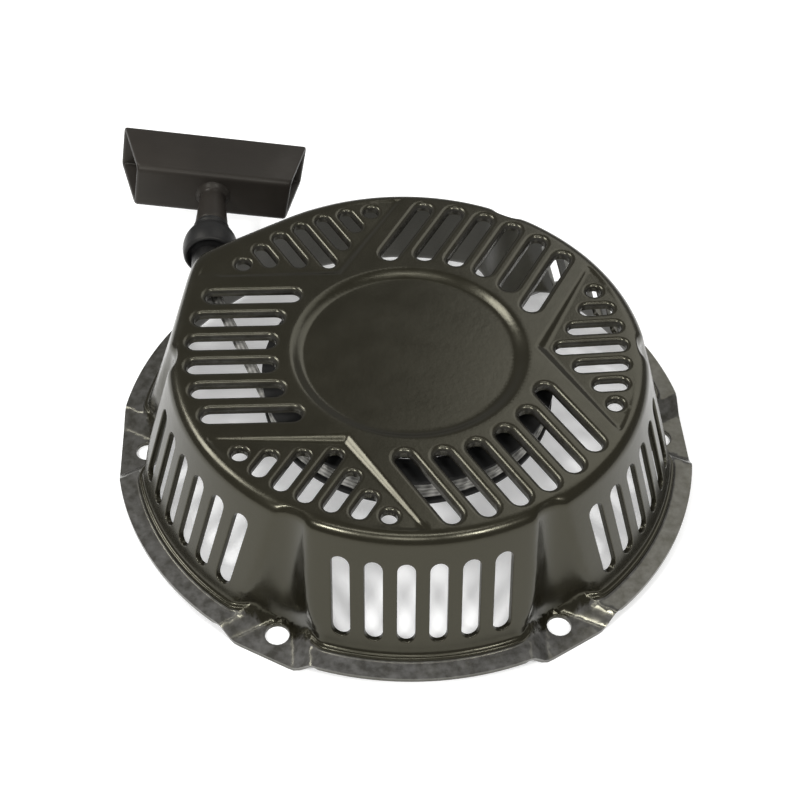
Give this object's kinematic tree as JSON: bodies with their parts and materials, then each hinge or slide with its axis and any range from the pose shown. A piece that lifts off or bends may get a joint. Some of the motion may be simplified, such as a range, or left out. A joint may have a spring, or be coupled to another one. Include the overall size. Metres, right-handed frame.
{
  "type": "recoil starter",
  "caption": "Small-engine recoil starter: slotted pressed-steel cover over a sprung rope reel with pawls, and a hollow T handle on its rope.",
  "frame": {"origin": "on the crankshaft axis, in the plane that the five mounting ears bolt to", "axes": "+Z along the crankshaft axis out through the cover's flat top; +Y is the way the handle pulls the rope; +X to the right"},
  "size_m": [0.2324, 0.2543, 0.057],
  "materials": {
    "cover_paint": "satin",
    "handle_plastic": "satin",
    "bumper_rubber": "matte",
    "reel_plastic": "matte",
    "steel": "satin",
    "spring_steel": "satin",
    "bronze": "satin",
    "rope_fibre": "matte"
  },
  "bodies": {
    "housing": {"cover": "cover_paint", "centre_post": "steel", "centre_screw": "steel", "screw_washer": "steel", "brake_spring": "spring_steel", "thrust_washer": "steel", "rope_guide": "steel", "rope_run": "rope_fibre"},
    "reel": {"reel": "reel_plastic", "reel_bushing": "bronze", "rewind_spring": "spring_steel", "spring_plate": "steel", "spring_plate_screw_1": "steel", "spring_plate_screw_2": "steel", "spring_plate_screw_3": "steel", "wound_rope": "rope_fibre", "reel_knot": "rope_fibre"},
    "drive_plate": {"drive_plate": "steel"},
    "pawl_1": {"pawl_1": "steel", "pawl_spring_1": "spring_steel"},
    "pawl_2": {"pawl_2": "steel", "pawl_spring_2": "spring_steel"},
    "rope_end": {"handle_washer": "steel", "handle_knot": "rope_fibre"},
    "handle": {"handle_grip": "handle_plastic", "bumper": "bumper_rubber"}
  },
  "joints": [
    {"name": "reel_spin", "type": "hinge", "parent": "housing", "child": "reel", "pos_m": [0, 0, 0.0392], "axis": [0, 0, -1], "range_deg": [0, 1230], "stiffness_Nm_per_rad": 0.015, "springref_deg": -687.55},
    {"name": "rope_pull", "type": "slide", "parent": "housing", "child": "rope_end", "axis": [0, 1, 0], "range_m": [0, 1.1]},
    {"name": "handle_swivel", "type": "hinge", "parent": "rope_end", "child": "handle", "pos_m": [-0.078, 0.1, 0.0392], "axis": [0, 1, 0], "range_deg": [-180, 180]},
    {"name": "plate_turn", "type": "hinge", "parent": "reel", "child": "drive_plate", "pos_m": [0, 0, 0.0247], "axis": [0, 0, 1], "range_deg": [0, 30]},
    {"name": "pawl_1_swing", "type": "hinge", "parent": "reel", "child": "pawl_1", "pos_m": [0, 0.024, 0.03], "axis": [0, 0, -1], "range_deg": [0, 50]},
    {"name": "pawl_2_swing", "type": "hinge", "parent": "reel", "child": "pawl_2", "pos_m": [0, -0.024, 0.03], "axis": [0, 0, -1], "range_deg": [0, 50]}
  ],
  "couplings": [
    {"joint": "rope_pull", "follows": "reel_spin", "m_per_rad": 0.051},
    {"joint": "pawl_1_swing", "follows": "plate_turn", "ratio": 1.6666},
    {"joint": "pawl_2_swing", "follows": "plate_turn", "ratio": 1.6666}
  ]
}
